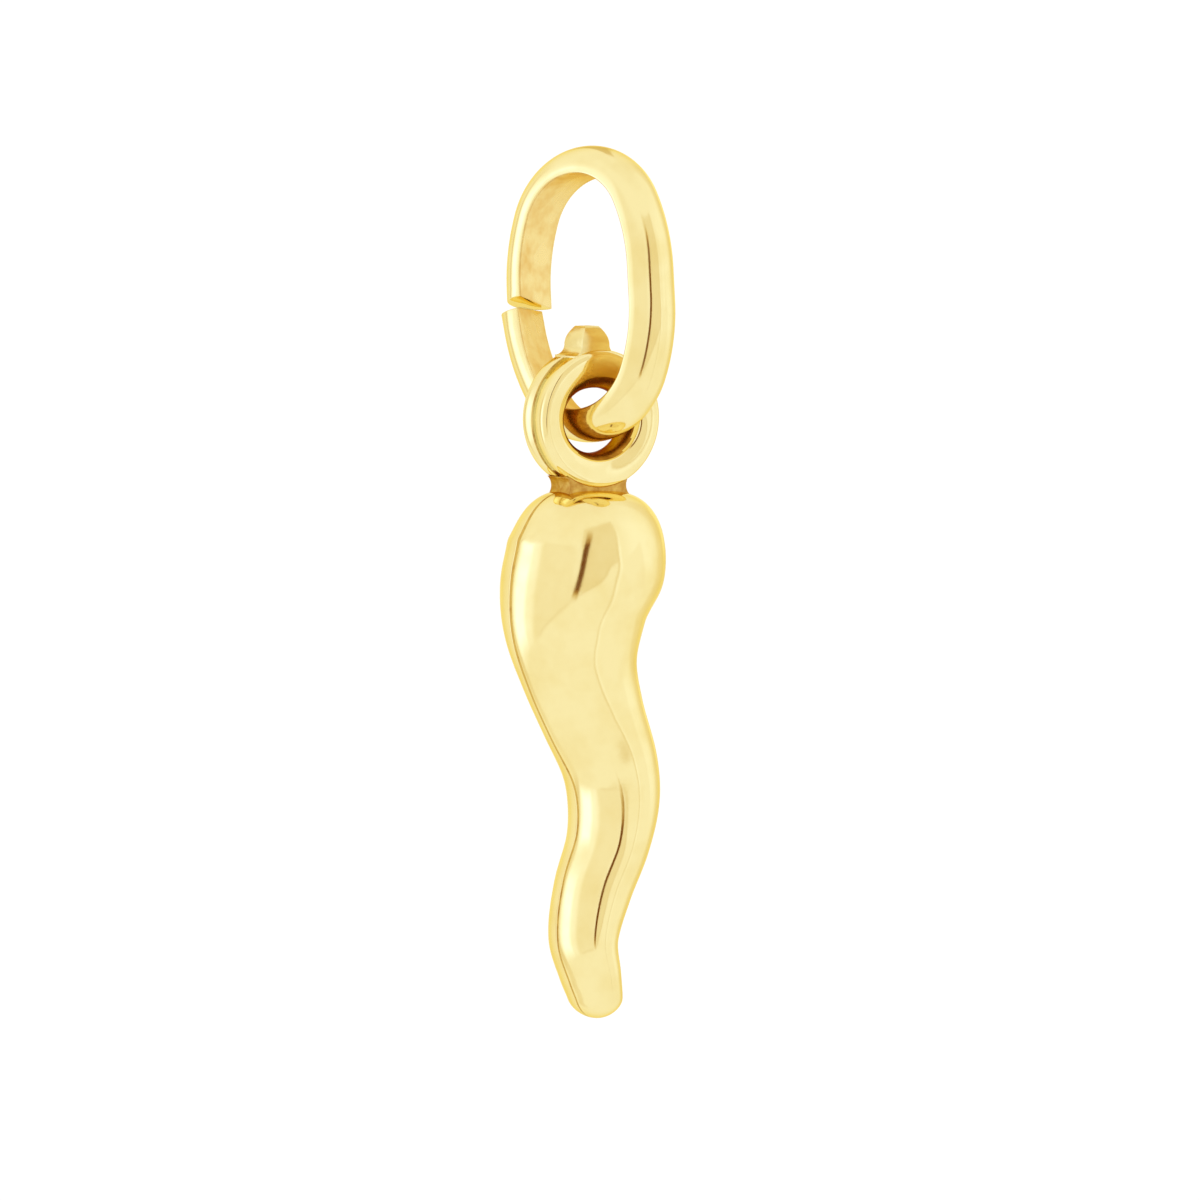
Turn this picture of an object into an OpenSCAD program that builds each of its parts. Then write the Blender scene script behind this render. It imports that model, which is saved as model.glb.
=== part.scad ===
// Cornicello horn pendant: a hollow stamped horn on an open oval bail.
// Millimetres, +Z up, the horn's front faces -Y. The origin is the inner top of the bail, where a chain sits.

/* [Bail] */
// Width inside the oval
bail_inner_w = 3.46; // [3.3:0.02:4.1]
// Height of the upper arch, inside
bail_top_arch = 2.66; // [2.3:0.02:3]
// Length of the straight limbs
bail_limb = 0.83; // [0.6:0.01:2]
// Height of the lower arch, inside
bail_foot_arch = 2.54; // [2.3:0.02:3]
// Radius of the two tight bends, inside
bail_bend_r = 1.5; // [1.35:0.01:1.55]
// Width of the half-round wire, across its flat
wire_w = 1.38; // [1.02:0.02:1.42]
// Height of the half-round wire
wire_h = 0.74; // [0.6:0.02:0.8]
// Cant of the wire's flat, in degrees
wire_cant = 3; // [0:1:5]
// How far the free end has sprung open, in degrees
bail_spring = 5; // [3:1:7]
// How far the free end stands out to the front side
bail_aside = 0.14; // [0:0.02:0.2]
// How far the cut lies above the middle of the limb
bail_cut_up = 0.11; // [0:0.01:0.15]
// Slant of the cut on the held end, in degrees
held_slant = 7; // [0:1:12]
// Slant of the cut on the free end, in degrees
free_slant = -5; // [-8:1:0]
// How far the free end has twisted, in degrees
bail_twist = 8; // [0:1:12]
// Turn of the bail about the vertical, in degrees
bail_turn = 69; // [64:1:76]
// Lean of the bail to the back, in degrees
bail_lean = 9; // [0:1:10]
// Dip of the bail to the side of its cut, in degrees
bail_dip = 10.5; // [0:0.5:11]

/* [Eye ring] */
// Room in the hole beyond the wire's diagonal
eye_play = 0.35; // [0.33:0.01:0.5]
// Width of the ring's band, seen from the front
eye_band = 0.77; // [0.65:0.01:0.95]
// Thickness from front to back
eye_t = 1.12; // [1:0.02:1.16]
// Rounding of the outer edges
eye_edge_r = 0.16; // [0.05:0.01:0.25]
// How far the wire's middle hangs below the middle of the hole
wire_drop = 0.18; // [0.16:0.005:0.2]
// How far the wire's middle lies in front of the ring's middle
wire_fore = 0.165; // [0.15:0.005:0.18]
// How far the wire's middle lies to the right of the ring's middle
wire_aside = 0.07; // [0.05:0.005:0.09]

/* [Fold tab] */
// Width
tab_w = 0.8; // [0.6:0.02:1]
// Height above the eye ring
tab_h = 0.58; // [0.5:0.02:0.8]
// Depth from front to back
tab_t = 0.88; // [0.6:0.02:1]
// Rounding of the top edges
tab_r = 0.26; // [0.1:0.01:0.28]
// Radius of the fillets at the tab's foot
tab_flare = 0.2; // [0.1:0.01:0.24]
// How far the tab stands to the left of the ring's middle
tab_aside = 0.12; // [0:0.01:0.15]

/* [Neck] */
// Width at the waist
neck_w = 1.66; // [1.2:0.02:1.8]
// Depth from front to back
neck_t = 0.92; // [0.6:0.02:1.1]
// Height between the eye ring and the horn's shoulder
neck_h = 0.06; // [0.04:0.01:0.3]
// Radius of the fillets at the neck's sides
neck_flare = 0.3; // [0.26:0.01:0.5]
// How far the neck stands to the left of the ring's middle
neck_aside = 0.07; // [0:0.01:0.1]

/* [Horn] */
// Length from shoulder to tip
horn_l = 13.28; // [11:0.02:18]
// Width across the widest place
horn_w = 4.2; // [3.4:0.02:5]
// Thickness across the thickest place
horn_t = 3.6; // [2.6:0.02:4.4]
// Length over which the shoulder rounds in to the neck
shoulder_l = 1.55; // [1:0.05:2.5]
// Length over which the tip rounds off
tip_l = 0.5; // [0.3:0.05:0.9]
// Wall of the stamped sheet
wall = 0.2; // [0.15:0.01:0.3]
// Depth of the groove along the solder seam
seam_d = 0.06; // [0.02:0.01:0.1]

/* [Hidden] */
$fn = 64;

// Sections down the horn. DOWN is a share of horn_l, ASIDE and WIDTH are shares of horn_w, THICK of horn_t.
DOWN = 0;
ASIDE = 1;
WIDTH = 2;
THICK = 3;
SECTIONS = [
    [0.00, 0.000, 1.000, 1.020],
    [0.08, -0.010, 0.955, 1.020],
    [0.14, -0.042, 0.977, 1.030],
    [0.20, -0.110, 0.915, 1.005],
    [0.27, -0.118, 0.848, 0.853],
    [0.35, -0.076, 0.719, 0.694],
    [0.43, 0.014, 0.635, 0.659],
    [0.52, 0.128, 0.555, 0.721],
    [0.59, 0.157, 0.508, 0.732],
    [0.67, 0.117, 0.451, 0.690],
    [0.76, 0.007, 0.424, 0.635],
    [0.85, -0.054, 0.360, 0.608],
    [0.92, -0.005, 0.298, 0.590],
    [0.97, 0.035, 0.250, 0.520],
    [1.00, 0.045, 0.220, 0.460],
];
// Squareness of the stamped section: 2 is an ellipse, more gives steeper walls.
SECTION_POWER = 2.1;
// Fullness of the rounded ends: 0.5 is an elliptic end, less gives a squarer one.
SHOULDER_POWER = 0.44;
TIP_POWER = 0.5;
LAST = len(SECTIONS) - 1;
OUTER_RINGS = 44;
OUTER_SIDES = 40;
INNER_RINGS = 28;
INNER_SIDES = 24;
// The first and last rings stand this share of a rounded end away from its very end.
END_SHARE = 0.03;
// How far the tab and the neck run into the eye ring, as shares of its band: past the groove, short of the hole.
TAB_SINK = 0.4;
NECK_SINK = 0.6;
OVER = 1;

// Bail
half_w = bail_inner_w / 2;
bail_inner_h = bail_top_arch + bail_limb + bail_foot_arch;
foot_centre = -bail_inner_h + bail_bend_r;
wire_mid = wire_h * 0.45;
// The wire's section has straight flanks this high beside its flat, then a round crown.
wire_flank = 0.06;
WIRE_STEPS = 14;
BEND_STEP = 6;

// Radius of the long side bend that meets both the limb and the tight end bend of an arch.
function side_r(arch) =
    (half_w ^ 2 + (arch - bail_bend_r) ^ 2 - bail_bend_r ^ 2) / (2 * (half_w - bail_bend_r));
// Angle that the side bend turns through before the end bend takes over.
function side_turn(arch) = atan2(arch - bail_bend_r, side_r(arch) - half_w);

// The bail leans about X, dips about Y and then turns about Z.
function leaned(p) = [
    p[0],
    p[1] * cos(bail_lean) + p[2] * sin(bail_lean),
    p[2] * cos(bail_lean) - p[1] * sin(bail_lean),
];
function dipped(p) = [
    p[0] * cos(bail_dip) - p[2] * sin(bail_dip),
    p[1],
    p[0] * sin(bail_dip) + p[2] * cos(bail_dip),
];
function turned(p) = [
    p[0] * cos(bail_turn) + p[1] * sin(bail_turn),
    p[1] * cos(bail_turn) - p[0] * sin(bail_turn),
    p[2],
];
// Middle of the wire at the foot of the oval, which the horn swings about.
swing = turned(dipped(leaned([0, 0, -bail_inner_h - wire_mid])));
eye = swing + [-wire_aside, wire_fore, wire_drop];
eye_hole_d = norm([wire_w, wire_h]) + eye_play;
eye_d = eye_hole_d + 2 * eye_band;

// Horn
neck_top = eye[2] - eye_d / 2;
shoulder_z = neck_top - neck_h;
tip_z = shoulder_z - horn_l;

// Segment of the table that holds share s, and a smooth curve through one of its columns.
function segment(s) = min(LAST - 1, max([for (i = [0 : LAST - 1]) if (SECTIONS[i][DOWN] <= s) i]));
function slope(col, i) =
    let (a = max(i - 1, 0), b = min(i + 1, LAST))
    (SECTIONS[b][col] - SECTIONS[a][col]) / (SECTIONS[b][DOWN] - SECTIONS[a][DOWN]);
function share(col, s) =
    let (i = segment(s), s0 = SECTIONS[i][DOWN], step = SECTIONS[i + 1][DOWN] - s0, t = (s - s0) / step)
    (2 * t ^ 3 - 3 * t ^ 2 + 1) * SECTIONS[i][col] + (t ^ 3 - 2 * t ^ 2 + t) * step * slope(col, i)
    + (3 * t ^ 2 - 2 * t ^ 3) * SECTIONS[i + 1][col] + (t ^ 3 - t ^ 2) * step * slope(col, i + 1);

// Rounding of the two ends: 0 at the very end, 1 once past the rounded length.
function rounded(run, length, power) = run >= length ? 1 : (1 - (1 - run / length) ^ 2) ^ power;
function fullness(down, inset) =
    rounded(down - inset, shoulder_l - inset, SHOULDER_POWER)
    * rounded(horn_l - inset - down, tip_l - inset / 2, TIP_POWER);

// Middle of the section at a distance down the horn, and the direction across it.
function middle(down) = [eye[0] + share(ASIDE, down / horn_l) * horn_w, eye[1], shoulder_z - down];
function across(down) =
    let (reach = 0.02,
         run = middle(min(down + reach, horn_l)) - middle(max(down - reach, 0)))
    [-run[2], 0, run[0]] / norm(run);

// Signed power, which gives the squared section.
function bow(x) = sign(x) * abs(x) ^ (2 / SECTION_POWER);

// One ring of the horn. The groove is cut into the two points that lie on the seam.
function ring(down, inset, sides, groove) =
    let (full = fullness(down, inset),
         half_width = (share(WIDTH, down / horn_l) * horn_w / 2 - inset) * full,
         half_thick = (share(THICK, down / horn_l) * horn_t / 2 - inset) * full)
    [for (k = [0 : sides - 1])
        let (angle = k * 360 / sides,
             cut = abs(sin(angle)) < 0.01 ? groove * full : 0)
        middle(down) + across(down) * (half_width - cut) * bow(cos(angle))
        + [0, half_thick * bow(sin(angle)), 0]];

// Distances down the horn, close together at the rounded ends.
function station(i, count, inset) =
    let (first = inset + shoulder_l * END_SHARE,
         last = horn_l - inset - tip_l * END_SHARE,
         t = i / (count - 1),
         eased = (1 - cos(180 * t)) / 2)
    first + (last - first) * (0.35 * t + 0.65 * eased);

module loft(rings, sides, inset, groove) {
    points = [for (i = [0 : rings - 1]) each ring(station(i, rings, inset), inset, sides, groove)];
    side_faces = [for (i = [0 : rings - 2], k = [0 : sides - 1])
        let (a = i * sides + k, b = i * sides + (k + 1) % sides)
        each [[a, b, b + sides], [a, b + sides, a + sides]]];
    top_face = [for (k = [sides - 1 : -1 : 0]) k];
    tip_face = [for (k = [0 : sides - 1]) (rings - 1) * sides + k];
    polyhedron(points, concat([top_face, tip_face], side_faces));
}

// Stops along the inside of a bend: [x, y, direction outwards].
function bend_stops(centre, radius, from, to) =
    let (steps = ceil(abs(to - from) / BEND_STEP))
    [for (i = [0 : steps])
        let (angle = from + (to - from) * i / steps)
        [centre[0] + radius * cos(angle), centre[1] + radius * sin(angle), angle]];

// The same stops, swung about a point in the plane of the oval.
function sprung(stops, about, angle) =
    [for (p = stops)
        let (x = p[0] - about[0], y = p[1] - about[1])
        [about[0] + x * cos(angle) - y * sin(angle), about[1] + x * sin(angle) + y * cos(angle), p[2] + angle]];

// The oval in its own plane, its inner top at the origin, from the cut in the left limb round to the cut.
top_y = -bail_top_arch;
foot_y = top_y - bail_limb;
cut_y = (top_y + foot_y) / 2 + bail_cut_up;
top_side = side_r(bail_top_arch);
foot_side = side_r(bail_foot_arch);
top_turn = side_turn(bail_top_arch);
foot_turn = side_turn(bail_foot_arch);
held_stops = concat(
    [[-half_w, cut_y, 180]],
    bend_stops([top_side - half_w, top_y], top_side, 180, 180 - top_turn),
    bend_stops([0, -bail_bend_r], bail_bend_r, 180 - top_turn - BEND_STEP, top_turn + BEND_STEP),
    bend_stops([half_w - top_side, top_y], top_side, top_turn, 0),
    bend_stops([half_w - foot_side, foot_y], foot_side, 0, -foot_turn),
    bend_stops([0, foot_centre], bail_bend_r, -foot_turn - BEND_STEP, foot_turn + bail_spring - 180));
// The free end springs open about the middle of the lower end bend.
free_stops = sprung(
    concat(
        bend_stops([foot_side - half_w, foot_y], foot_side, foot_turn - 180 - BEND_STEP / 4, -180),
        [[-half_w, cut_y, -180]]),
    [0, foot_centre], bail_spring);
STOPS = concat(held_stops, free_stops);
FREE_FROM = len(held_stops) - 1;

// Half-round section as [outwards, sideways], its flat at 0.
wire_outline = concat(
    [[0, wire_w / 2]],
    [for (i = [0 : WIRE_STEPS - 1])
        let (angle = 90 - 180 * i / (WIRE_STEPS - 1))
        [wire_flank + (wire_h - wire_flank) * cos(angle), wire_w / 2 * sin(angle)]],
    [[0, -wire_w / 2]]);

// The section at one stop, canted about its middle, moved aside and slanted along the wire.
function wire_ring(stop, cant, aside, slant) =
    [for (p = wire_outline)
        let (u = p[0] - wire_mid,
             out = wire_mid + u * cos(cant) - p[1] * sin(cant),
             side = u * sin(cant) + p[1] * cos(cant))
        [stop[0] + out * cos(stop[2]), stop[1] + out * sin(stop[2]) + side * tan(slant), side + aside]];
// Share of the way from the foot to the free end's tip.
function freed(i) = max(0, i - FREE_FROM) / (len(STOPS) - 1 - FREE_FROM);
function slant_at(i) = i == 0 ? held_slant : i == len(STOPS) - 1 ? free_slant : 0;

module oval() {
    sides = len(wire_outline);
    rings = len(STOPS);
    points = [for (i = [0 : rings - 1])
        each wire_ring(STOPS[i], wire_cant - bail_twist * freed(i), bail_aside * freed(i) ^ 2, slant_at(i))];
    side_faces = [for (i = [0 : rings - 2], k = [0 : sides - 1])
        let (a = i * sides + k, b = i * sides + (k + 1) % sides)
        each [[a, b, b + sides], [a, b + sides, a + sides]]];
    first_face = [for (k = [sides - 1 : -1 : 0]) k];
    last_face = [for (k = [0 : sides - 1]) (rings - 1) * sides + k];
    polyhedron(points, concat([first_face, last_face], side_faces));
}

module bail() {
    color("#F2DB86")
    rotate([0, 0, -bail_turn])
    rotate([0, -bail_dip, 0])
    rotate([-bail_lean, 0, 0])
    rotate([90, 0, 0])
    oval();
}

// Domed towards the hole, flat round the outside.
module eye_section() {
    dome_r = eye_t / 2;
    dome_x = eye_hole_d / 2 + dome_r;
    edge_x = eye_d / 2 - eye_edge_r;
    translate([dome_x, 0])
    circle(r = dome_r);
    translate([dome_x, -dome_r])
    square([edge_x - dome_x, eye_t]);
    translate([edge_x - OVER / 10, -dome_r + eye_edge_r])
    square([eye_edge_r + OVER / 10, eye_t - 2 * eye_edge_r]);
    for (side = [-1, 1])
        translate([edge_x, side * (dome_r - eye_edge_r)])
        circle(r = eye_edge_r);
}

// The two stamped halves meet in a fine groove round the ring's edge.
module eye_ring() {
    translate(eye)
    rotate([90, 0, 0])
    rotate_extrude()
    difference() {
        eye_section();
        translate([eye_d / 2, 0])
        circle(r = seam_d);
    }
}

// Two fillet-shaped bites, one from each side of a block.
module bites(half_width, height, radius) {
    for (side = [-1, 1])
        translate([side * (half_width + radius), height])
        circle(r = radius);
}

module fold_tab() {
    top_y = eye_d / 2 + tab_h;
    foot_w = tab_w + 1.6 * tab_flare;
    sink = eye_band * TAB_SINK;
    translate(eye + [-tab_aside, tab_t / 2, 0])
    rotate([90, 0, 0])
    linear_extrude(tab_t) {
        difference() {
            translate([-foot_w / 2, eye_d / 2 - sink])
            square([foot_w, sink + tab_flare / 2]);
            bites(tab_w / 2, eye_d / 2 + tab_flare / 2, tab_flare);
        }
        translate([-tab_w / 2, eye_d / 2])
        square([tab_w, tab_h - tab_r]);
        translate([-tab_w / 2 + tab_r, top_y - 2 * tab_r])
        square([tab_w - 2 * tab_r, 2 * tab_r]);
        for (side = [-1, 1])
            translate([side * (tab_w / 2 - tab_r), top_y - tab_r])
            circle(r = tab_r);
    }
}

module neck() {
    deep = shoulder_l * END_SHARE + wall;
    foot_w = neck_w + neck_flare;
    translate([eye[0] - neck_aside, eye[1] + neck_t / 2, shoulder_z])
    rotate([90, 0, 0])
    linear_extrude(neck_t)
    difference() {
        translate([-foot_w / 2, -deep])
        square([foot_w, deep + neck_h + eye_band * NECK_SINK]);
        bites(neck_w / 2, neck_h / 2, neck_flare);
    }
}

module horn() {
    color("#F2DB86")
    difference() {
        union() {
            loft(OUTER_RINGS, OUTER_SIDES, 0, seam_d);
            neck();
            eye_ring();
            fold_tab();
        }
        loft(INNER_RINGS, INNER_SIDES, wall, 0);
    }
}

bail();
horn();
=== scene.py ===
"""Cornicello horn pendant: the smooth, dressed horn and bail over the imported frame, in a light tent."""

import functools
import logging
import math
from dataclasses import dataclass, field, replace
from enum import Enum
from typing import Iterable, NamedTuple, Sequence

import bmesh
import bpy
from mathutils import Matrix, Vector


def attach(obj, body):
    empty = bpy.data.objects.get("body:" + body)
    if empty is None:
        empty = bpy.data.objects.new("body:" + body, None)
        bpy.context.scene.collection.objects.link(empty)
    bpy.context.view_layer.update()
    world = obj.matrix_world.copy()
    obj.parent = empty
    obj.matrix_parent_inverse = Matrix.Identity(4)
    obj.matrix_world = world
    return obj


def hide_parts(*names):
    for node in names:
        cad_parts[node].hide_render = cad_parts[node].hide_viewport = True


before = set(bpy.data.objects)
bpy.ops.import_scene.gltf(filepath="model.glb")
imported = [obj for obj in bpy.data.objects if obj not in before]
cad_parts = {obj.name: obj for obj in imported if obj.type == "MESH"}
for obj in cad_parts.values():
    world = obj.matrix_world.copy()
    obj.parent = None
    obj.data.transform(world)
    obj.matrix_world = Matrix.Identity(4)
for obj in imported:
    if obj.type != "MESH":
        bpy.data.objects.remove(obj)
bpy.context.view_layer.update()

LOG = logging.getLogger("pendant")
MM = 0.001
# Points closer than this are one point, in millimetres: while a piece is drawn, and at its end.
TOUCHING = 1e-4
WELDED = 1e-5
# A turn in radians that keeps a point at the start of a circle from being sorted to its end.
NUDGE = 1e-4
# Only the flat ends of a swept piece have more corners than this.
WALL_CORNERS = 8
# The range that a noise texture really fills.
NOISE_LOW, NOISE_HIGH = 0.3, 0.7


def linear(hex_colour: str) -> tuple[float, float, float, float]:
    """Turns an sRGB hex colour into the linear colour that shaders take.

    Args:
        hex_colour: six hex digits with a leading hash.

    Returns:
        Linear red, green, blue and an alpha of 1.
    """
    parts = [int(hex_colour[i : i + 2], 16) / 255 for i in (1, 3, 5)]
    r, g, b = [p / 12.92 if p <= 0.04045 else ((p + 0.055) / 1.055) ** 2.4 for p in parts]
    return (r, g, b, 1.0)


def add_node(
    tree: bpy.types.NodeTree, kind: str, settings: dict | None = None, **inputs
) -> bpy.types.Node:
    """Adds one shader node with its settings, values and links.

    Args:
        tree: the node tree that gets the node.
        kind: the node's type name.
        settings: attributes of the node itself.
        inputs: socket names with spaces as underscores, or an underscore and the socket's number,
            to a value or to the socket that feeds it.

    Returns:
        The new node.
    """
    node = tree.nodes.new(kind)
    for name, value in (settings or {}).items():
        setattr(node, name, value)
    for name, value in inputs.items():
        key = int(name[1:]) if name[0] == "_" else name.replace("_", " ")
        socket = node.inputs[key]
        if isinstance(value, bpy.types.NodeSocket):
            tree.links.new(value, socket)
        else:
            socket.default_value = value
    return node


def noise(tree: bpy.types.NodeTree, size_mm: float, **inputs) -> bpy.types.NodeSocket:
    """Adds a noise texture whose marks have a size in millimetres and returns its factor."""
    node = add_node(tree, "ShaderNodeTexNoise", Scale=1 / (size_mm * MM), **inputs)
    return node.outputs["Fac"]


def compute(tree: bpy.types.NodeTree, operation: str, *values) -> bpy.types.NodeSocket:
    """Adds a math node that takes values or sockets and returns its result."""
    inputs = {f"_{k}": value for k, value in enumerate(values)}
    return add_node(tree, "ShaderNodeMath", {"operation": operation}, **inputs).outputs[0]


class Gold(Enum):
    """Yellow gold in the states that the pendant shows it in."""

    POLISHED = "#FBEBAB"
    MELLOW = "#F7E39C"
    SATIN = "#F9E198"
    BLUSHED = "#F0CB7A"
    FLUSHED = "#E0B95E"
    # Brown for fire scale on the solder, and painted shade on the wall of the eye's hole.
    FIRE_SCALE_AND_SHADE = "#C89443"
    # A deeper brown of painted shade for the wall of the eye's hole.
    DEEP_SHADE = "#A06A24"


@dataclass(frozen=True)
class GoldFinish:
    """One finish of the yellow gold, with the size of its marks in millimetres."""

    name: str
    colour: Gold
    patch_colour: Gold
    patch_mm: float
    patch_from: float
    patch_to: float
    roughness: float
    rough_spread: float
    ripple_mm: float
    ripple_depth_mm: float
    grit_mm: float
    grit_depth_mm: float

    @functools.cache
    def material(self) -> bpy.types.Material:
        """Builds the material, once for each finish.

        Returns:
            A material whose pattern follows Object coordinates.
        """
        mat = bpy.data.materials.new(self.name)
        mat.use_nodes = True
        tree = mat.node_tree
        tree.nodes.clear()
        place = add_node(tree, "ShaderNodeTexCoord").outputs["Object"]
        patches = noise(tree, self.patch_mm, Vector=place, Detail=3.0, Roughness=0.6)
        mask = add_node(
            tree,
            "ShaderNodeMapRange",
            Value=patches,
            From_Min=self.patch_from,
            From_Max=self.patch_to,
        )
        colour = add_node(
            tree,
            "ShaderNodeMix",
            {"data_type": "RGBA"},
            _0=mask.outputs["Result"],
            _6=linear(self.colour.value),
            _7=linear(self.patch_colour.value),
        )
        rough = add_node(
            tree,
            "ShaderNodeMapRange",
            Value=patches,
            From_Min=NOISE_LOW,
            From_Max=NOISE_HIGH,
            To_Min=self.roughness,
            To_Max=self.roughness + self.rough_spread,
        )
        ripple = noise(tree, self.ripple_mm, Vector=place, Detail=1.0)
        swell = add_node(
            tree,
            "ShaderNodeBump",
            Strength=1.0,
            Distance=self.ripple_depth_mm * MM,
            Height=ripple,
        )
        grit = noise(tree, self.grit_mm, Vector=place, Detail=2.0)
        bump = add_node(
            tree,
            "ShaderNodeBump",
            Strength=1.0,
            Distance=self.grit_depth_mm * MM,
            Height=grit,
            Normal=swell.outputs["Normal"],
        )
        shader = add_node(
            tree,
            "ShaderNodeBsdfPrincipled",
            Base_Color=colour.outputs[2],
            Metallic=1.0,
            Specular_Tint=linear(self.patch_colour.value),
            Roughness=rough.outputs["Result"],
            Normal=bump.outputs["Normal"],
        )
        add_node(tree, "ShaderNodeOutputMaterial", Surface=shader.outputs["BSDF"])
        return mat


# Stamped gold, tumbled and buffed: a near mirror with the softest swell in its reflections.
BUFFED = GoldFinish(
    name="gold_buffed",
    colour=Gold.POLISHED,
    patch_colour=Gold.MELLOW,
    patch_mm=1.2,
    patch_from=0.42,
    patch_to=0.75,
    roughness=0.07,
    rough_spread=0.06,
    ripple_mm=0.9,
    ripple_depth_mm=0.003,
    grit_mm=0.09,
    grit_depth_mm=0.0004,
)
# The folded tab: the same gold, dented a little by the fold and softly satin.
FOLDED = replace(BUFFED, name="gold_folded", roughness=0.2, ripple_mm=0.4, ripple_depth_mm=0.012)
# Drawn gold wire, left as drawn inside the bend where no buff reaches: satin, with orange flushes.
DRAWN = GoldFinish(
    name="gold_satin_drawn",
    colour=Gold.SATIN,
    patch_colour=Gold.BLUSHED,
    patch_mm=0.7,
    patch_from=0.42,
    patch_to=0.66,
    roughness=0.24,
    rough_spread=0.16,
    ripple_mm=0.3,
    ripple_depth_mm=0.012,
    grit_mm=0.05,
    grit_depth_mm=0.003,
)
# Soldered gold at the neck: grainy and orange from the torch, which eats the light there.
SOLDERED = GoldFinish(
    name="gold_soldered",
    colour=Gold.FLUSHED,
    patch_colour=Gold.FIRE_SCALE_AND_SHADE,
    patch_mm=0.3,
    patch_from=0.35,
    patch_to=0.6,
    roughness=0.26,
    rough_spread=0.2,
    ripple_mm=0.22,
    ripple_depth_mm=0.014,
    grit_mm=0.06,
    grit_depth_mm=0.006,
)
# Solder left in the seam between the stamped halves: a thin brown line that no buff reaches.
SEAM = GoldFinish(
    name="gold_seam_solder",
    colour=Gold.FLUSHED,
    patch_colour=Gold.FIRE_SCALE_AND_SHADE,
    patch_mm=0.5,
    patch_from=0.5,
    patch_to=0.7,
    roughness=0.3,
    rough_spread=0.15,
    ripple_mm=0.22,
    ripple_depth_mm=0.01,
    grit_mm=0.06,
    grit_depth_mm=0.004,
)
# The inner wall of the eye, a little rougher and painted brown: painted shade and painted reflection of
# the dark wire in the hole.
PAINTED_HOLE_SHADE = GoldFinish(
    name="gold_hole_painted_shade",
    colour=Gold.FIRE_SCALE_AND_SHADE,
    patch_colour=Gold.DEEP_SHADE,
    patch_mm=0.5,
    patch_from=0.4,
    patch_to=0.7,
    roughness=0.22,
    rough_spread=0.15,
    ripple_mm=0.3,
    ripple_depth_mm=0.01,
    grit_mm=0.06,
    grit_depth_mm=0.003,
)


class Slot(Enum):
    """The record's finishes."""

    BAIL = "bail_gold"
    HORN = "horn_gold"


def finish_piece(
    mesh: bmesh.types.BMesh,
    name: str,
    body: str,
    node: str,
    finishes: Sequence[GoldFinish],
) -> bpy.types.Object:
    """Turns a mesh in millimetres into a smooth piece that rides on its body and stands for its node.

    Args:
        mesh: the finished mesh, in millimetres and in place. It is freed here.
        name: the piece's name.
        body: the moving body that carries it.
        node: the solid that it stands for.
        finishes: one finish for each material index that the faces use.

    Returns:
        The new object, at the origin.
    """
    bmesh.ops.remove_doubles(mesh, verts=mesh.verts, dist=WELDED)
    bmesh.ops.recalc_face_normals(mesh, faces=mesh.faces)
    bmesh.ops.scale(mesh, vec=(MM, MM, MM), verts=mesh.verts)
    for face in mesh.faces:
        face.smooth = True
    data = bpy.data.meshes.new(name)
    open_edges = sum(1 for e in mesh.edges if not e.is_manifold)
    mesh.to_mesh(data)
    mesh.free()
    piece = bpy.data.objects.new(name, data)
    bpy.context.scene.collection.objects.link(piece)
    for finish in finishes:
        data.materials.append(finish.material())
    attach(piece, body)
    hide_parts(node)
    LOG.info("%s: %d faces, %d open edges", name, len(data.polygons), open_edges)
    return piece


def spin_step(
    mesh: bmesh.types.BMesh, section: list, centre: Vector, axis: Vector, angle: float
) -> list:
    """Spins a section by one step.

    Args:
        mesh: the mesh being built.
        section: the section's edges, or one vertex.
        centre: a point on the axis.
        axis: the axis to turn about.
        angle: the turn in radians.

    Returns:
        The edges or the vertex at the far end.
    """
    kind = type(section[0])
    made = bmesh.ops.spin(
        mesh,
        geom=section,
        cent=centre,
        axis=axis,
        angle=angle,
        steps=1,
        use_merge=False,
        use_duplicate=False,
    )
    return [g for g in made["geom_last"] if isinstance(g, kind)]


def draw_arc(
    mesh: bmesh.types.BMesh,
    start: bmesh.types.BMVert,
    centre: Vector,
    axis: Vector,
    turn: float,
    steps: int,
) -> list[bmesh.types.BMVert]:
    """Draws an arc on from a point of a profile.

    Args:
        mesh: the mesh being built.
        start: the point.
        centre: the arc's centre.
        axis: the axis to turn about.
        turn: the whole turn in degrees.
        steps: the number of edges.

    Returns:
        The arc's points in order, the first one included.
    """
    points = [start]
    for _ in range(steps):
        points += spin_step(mesh, points[-1:], centre, axis, math.radians(turn / steps))
    return points


def draw_line(mesh: bmesh.types.BMesh, start: bmesh.types.BMVert, run: Vector) -> bmesh.types.BMVert:
    """Draws a straight line on from a point of a profile and returns its far end."""
    made = bmesh.ops.extrude_vert_indiv(mesh, verts=[start])["verts"]
    bmesh.ops.translate(mesh, vec=run, verts=made)
    return made[0]


def extrude_ring(
    mesh: bmesh.types.BMesh, edges: list[bmesh.types.BMEdge]
) -> tuple[list[bmesh.types.BMEdge], list[bmesh.types.BMVert]]:
    """Extrudes a ring of edges on the spot and returns the new edges and their vertices."""
    made = bmesh.ops.extrude_edge_only(mesh, edges=edges)["geom"]
    verts = {g for g in made if isinstance(g, bmesh.types.BMVert)}
    ring = [g for g in made if isinstance(g, bmesh.types.BMEdge) and set(g.verts) <= verts]
    return ring, list(verts)


def verts_of(edges: Iterable[bmesh.types.BMEdge]) -> list[bmesh.types.BMVert]:
    """Lists the vertices of some edges, each once."""
    return list({v: None for e in edges for v in e.verts})


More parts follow.
